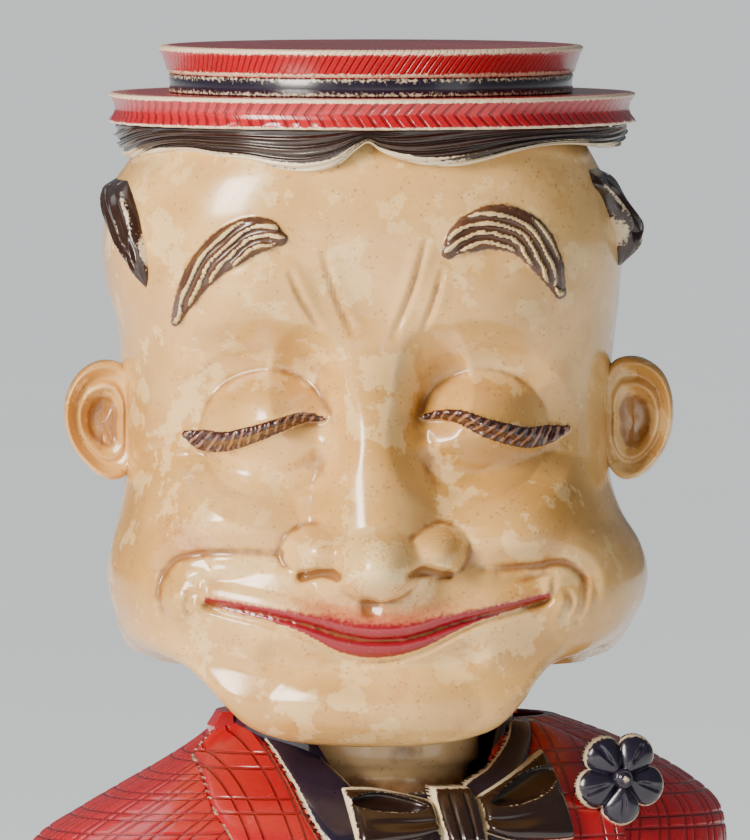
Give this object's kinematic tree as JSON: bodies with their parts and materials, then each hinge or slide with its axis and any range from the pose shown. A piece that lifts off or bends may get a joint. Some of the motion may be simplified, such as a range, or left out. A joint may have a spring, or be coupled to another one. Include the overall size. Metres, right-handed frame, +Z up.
{
  "type": "ventriloquist dummy",
  "caption": "Hollow moulded ventriloquist bust: big hard head in a boater hat on a stick that turns and nods in a jacket bust with a hand opening in its back.",
  "frame": {"origin": "middle of the flat felt underside, on the axis that the head turns about", "axes": "+Z up along the head's turning axis, the face looks along -Y, +X to the viewer's right"},
  "size_m": [0.1978, 0.1534, 0.3209],
  "materials": {
    "red_jacket": "glossy red paint on moulded shell",
    "navy_paint": "glossy navy paint on moulded shell",
    "brown_paint": "glossy dark brown paint on moulded shell",
    "skin_paint": "glossy cream skin paint, brown-stained",
    "hat_red": "glossy red paint",
    "board_wood": "birch plywood, clear sealed",
    "stick_wood": "beech, oiled",
    "felt": "green felt",
    "steel": "zinc-plated steel",
    "nylon": "natural nylon",
    "rubber": "ribbed black rubber"
  },
  "bodies": {
    "bust": {"jacket_front": "red_jacket", "jacket_back": "red_jacket", "lapel_left": "red_jacket", "lapel_right": "red_jacket", "jacket_collar": "red_jacket", "coat_buttons": "navy_paint", "collar_leaf_left": "navy_paint", "collar_leaf_right": "navy_paint", "collar_stand": "navy_paint", "shirt_front": "navy_paint", "tie_wing_left": "brown_paint", "tie_knot": "brown_paint", "tie_wing_right": "brown_paint", "flower_petals": "navy_paint", "flower_centre": "navy_paint", "flower_stem": "steel", "base_board": "board_wood", "base_felt": "felt", "base_screws": "steel", "screw_blocks": "board_wood", "shoulder_shelf": "board_wood", "shelf_cleats": "board_wood", "shelf_screws": "steel", "felt_washer": "felt"},
    "swivel": {"swivel_ring": "nylon", "nod_pin": "steel", "retaining_ring": "nylon", "retainer_screws": "steel"},
    "head": {"neck_ball": "skin_paint", "head_stick": "stick_wood", "stick_grip": "rubber", "face_shell": "skin_paint", "head_back": "skin_paint", "ear_left": "skin_paint", "ear_right": "skin_paint", "hair_back": "brown_paint", "sideburn_left": "brown_paint", "sideburn_right": "brown_paint", "hair_fringe": "brown_paint", "crown_block": "board_wood", "hat_brim": "hat_red", "hat_crown": "hat_red", "hat_band": "navy_paint", "hat_screws": "steel"}
  },
  "joints": [
    {"name": "head_turn", "type": "hinge", "parent": "bust", "child": "swivel", "pos_m": [0, 0, 0.104], "axis": [0, 0, 1], "range_deg": [-45, 45]},
    {"name": "head_nod", "type": "hinge", "parent": "swivel", "child": "head", "pos_m": [0, 0, 0.104], "axis": [1, 0, 0], "range_deg": [-12, 2]}
  ]
}
